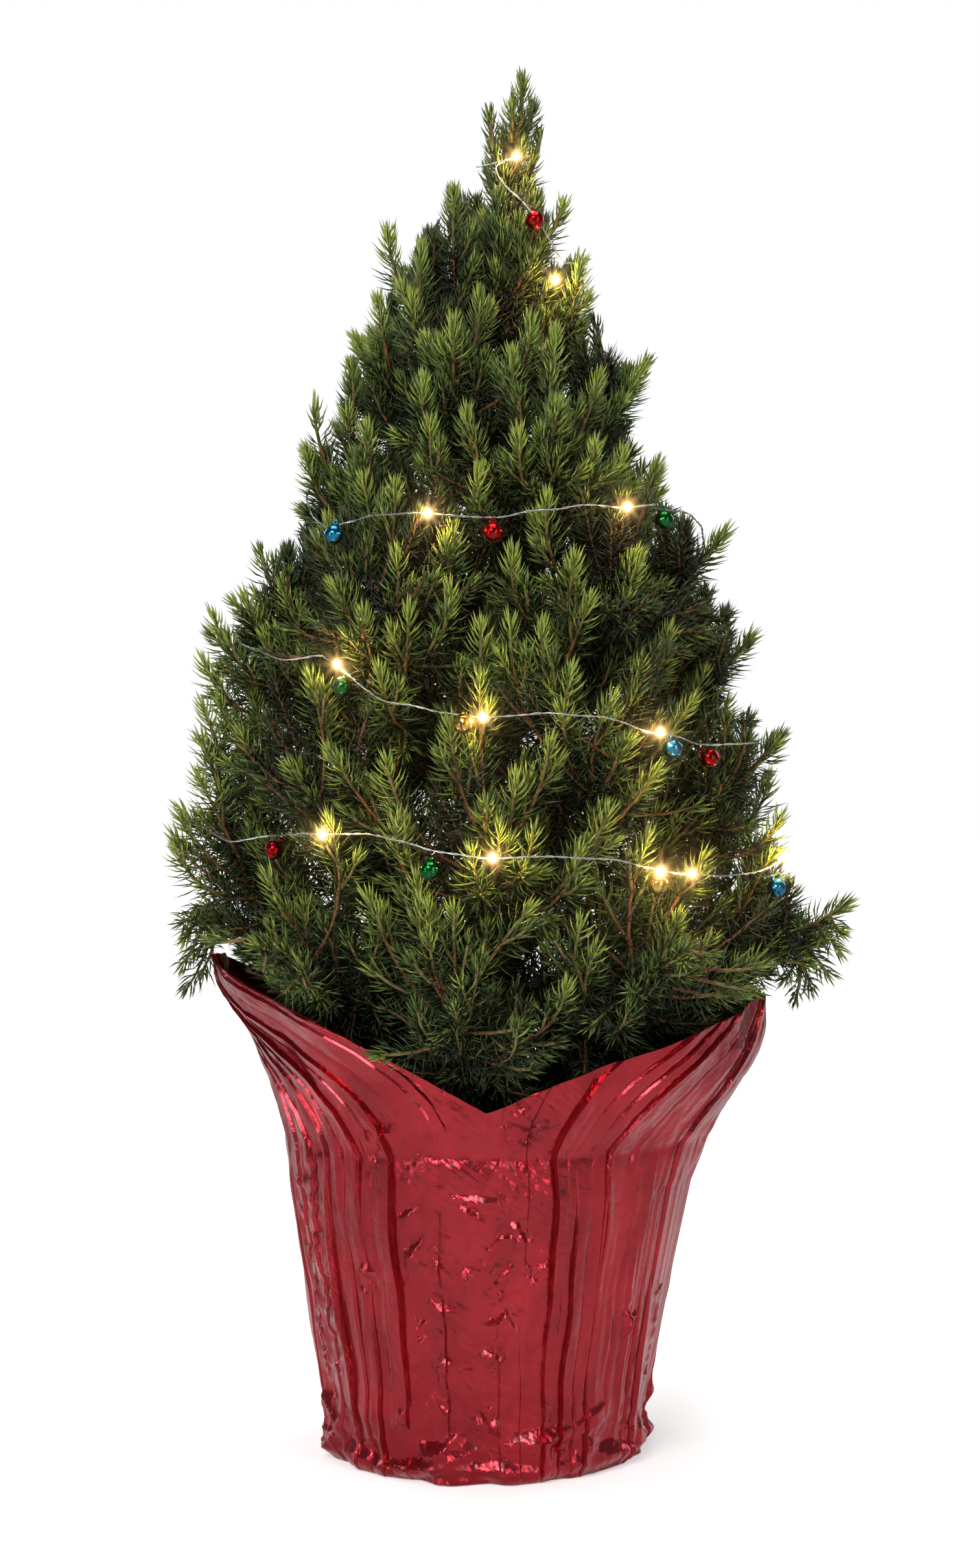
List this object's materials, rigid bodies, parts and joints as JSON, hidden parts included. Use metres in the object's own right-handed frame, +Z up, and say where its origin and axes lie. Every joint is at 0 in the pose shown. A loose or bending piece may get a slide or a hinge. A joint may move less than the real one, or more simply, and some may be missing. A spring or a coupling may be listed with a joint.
{
  "type": "potted dwarf alberta spruce",
  "caption": "Small conical spruce of dense bristly shoots on a woody trunk, growing in a round nursery pot of soil inside a pleated foil sleeve with two flared points",
  "frame": {"origin": "the middle of the sleeve's flat underside, on the surface that the plant stands on", "axes": "+Z up along the pot's axis and the trunk, -Y towards the front with the sleeve's notch, +X towards the right as seen from the front"},
  "size_m": [0.3032, 0.2477, 0.595],
  "materials": {
    "needles": "fresh green needles, brighter at the tips, with a faint wax sheen",
    "bark": "rough orange-brown bark, darker on the old wood",
    "foil": "crimson metallic foil, satin, with pressed pleats and fine crumples",
    "pot": "thin black moulded plastic",
    "soil": "damp dark potting mix with bark crumbs"
  },
  "bodies": {
    "root": {"bough_back_6": "bark", "bough_back_low": "bark", "bough_back_low_left": "bark", "bough_back_low_right": "bark", "bough_front_5": "bark", "bough_front_low": "bark", "bough_front_low_left": "bark", "bough_front_low_right": "bark", "bough_left_low": "bark", "bough_left_middle": "bark", "bough_left_wide": "bark", "bough_right_broad": "bark", "bough_right_low": "bark", "bough_right_wide": "bark", "foil_sleeve": "foil", "foliage_back_1": "needles", "foliage_back_2": "needles", "foliage_back_3": "needles", "foliage_back_4": "needles", "foliage_back_5": "needles", "foliage_back_6": "needles", "foliage_back_high": "needles", "foliage_back_low": "needles", "foliage_back_low_left": "needles", "foliage_back_low_right": "needles", "foliage_front_1": "needles", "foliage_front_2": "needles", "foliage_front_3": "needles", "foliage_front_4": "needles", "foliage_front_5": "needles", "foliage_front_high": "needles", "foliage_front_low": "needles", "foliage_front_low_left": "needles", "foliage_front_low_right": "needles", "foliage_leader": "needles", "foliage_left_1": "needles", "foliage_left_2": "needles", "foliage_left_high": "needles", "foliage_left_low": "needles", "foliage_left_middle": "needles", "foliage_left_rising": "needles", "foliage_left_upper": "needles", "foliage_left_wide": "needles", "foliage_right_1": "needles", "foliage_right_broad": "needles", "foliage_right_high": "needles", "foliage_right_low": "needles", "foliage_right_middle": "needles", "foliage_right_rising": "needles", "foliage_right_upper": "needles", "foliage_right_wide": "needles", "pot": "pot", "soil": "soil", "trunk": "bark"}
  },
  "joints": []
}
